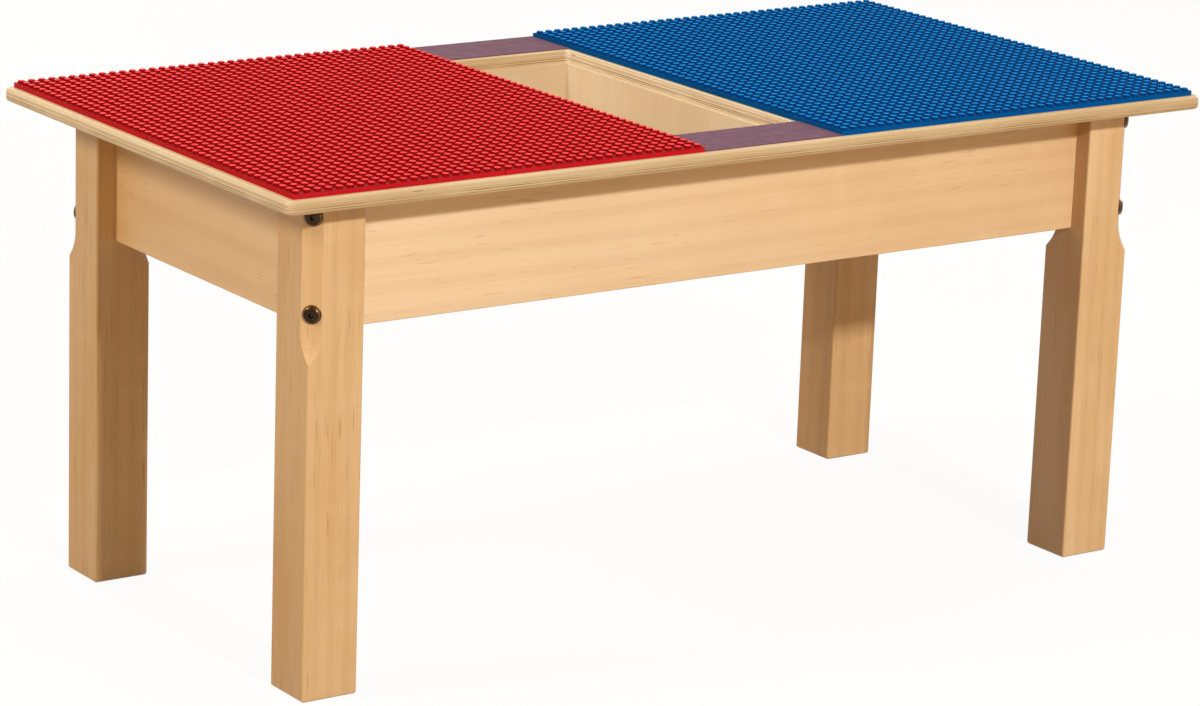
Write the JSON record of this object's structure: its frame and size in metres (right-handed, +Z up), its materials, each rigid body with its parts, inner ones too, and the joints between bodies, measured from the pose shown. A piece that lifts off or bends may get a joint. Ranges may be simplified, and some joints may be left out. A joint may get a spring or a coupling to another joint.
{
  "type": "play table",
  "caption": "Low rectangular wooden play table with building-brick stud plates on its top, a sunken storage bin in the middle, deep aprons and bolt-on square legs.",
  "frame": {"origin": "on the floor, under the middle of the top", "axes": "+X along the table's length to the blue half, +Y to the rear, +Z up"},
  "size_m": [0.768, 0.394, 0.355],
  "materials": {
    "birch_plywood": "clear satin lacquer, cut edges rounded and sanded",
    "maple": "clear satin lacquer",
    "bin_plywood": "clear satin lacquer",
    "block_wood": "planed, unlacquered",
    "red_plastic": "moulded, satin gloss",
    "blue_plastic": "moulded, satin gloss",
    "mauve_laminate": "matt laminate, bare",
    "bronzed_steel": "dark antique bronze plating",
    "zinc_plated_steel": "bright zinc plating"
  },
  "bodies": {
    "root": {"tabletop": "birch_plywood", "red_plate_front_outer": "red_plastic", "red_plate_front_inner": "red_plastic", "red_plate_rear_outer": "red_plastic", "red_plate_rear_inner": "red_plastic", "blue_plate_front_outer": "blue_plastic", "blue_plate_front_inner": "blue_plastic", "blue_plate_rear_outer": "blue_plastic", "blue_plate_rear_inner": "blue_plastic", "front_trim_strip": "mauve_laminate", "rear_trim_strip": "mauve_laminate", "front_apron": "maple", "rear_apron": "maple", "left_apron": "maple", "right_apron": "maple", "leg_front_left": "maple", "leg_front_right": "maple", "leg_rear_left": "maple", "leg_rear_right": "maple", "corner_block_front_left": "block_wood", "corner_block_front_right": "block_wood", "corner_block_rear_left": "block_wood", "corner_block_rear_right": "block_wood", "top_cleat_front_left": "block_wood", "top_cleat_front_right": "block_wood", "top_cleat_rear_left": "block_wood", "top_cleat_rear_right": "block_wood", "bin_dowels": "block_wood", "bin_left_wall": "bin_plywood", "bin_right_wall": "bin_plywood", "bin_floor": "bin_plywood", "leg_bolts": "bronzed_steel", "bolt_washers": "zinc_plated_steel", "bolt_nuts": "zinc_plated_steel", "corner_block_screws": "zinc_plated_steel", "cleat_apron_screws": "zinc_plated_steel", "cleat_top_screws": "zinc_plated_steel", "bin_floor_screws": "zinc_plated_steel"}
  },
  "joints": []
}
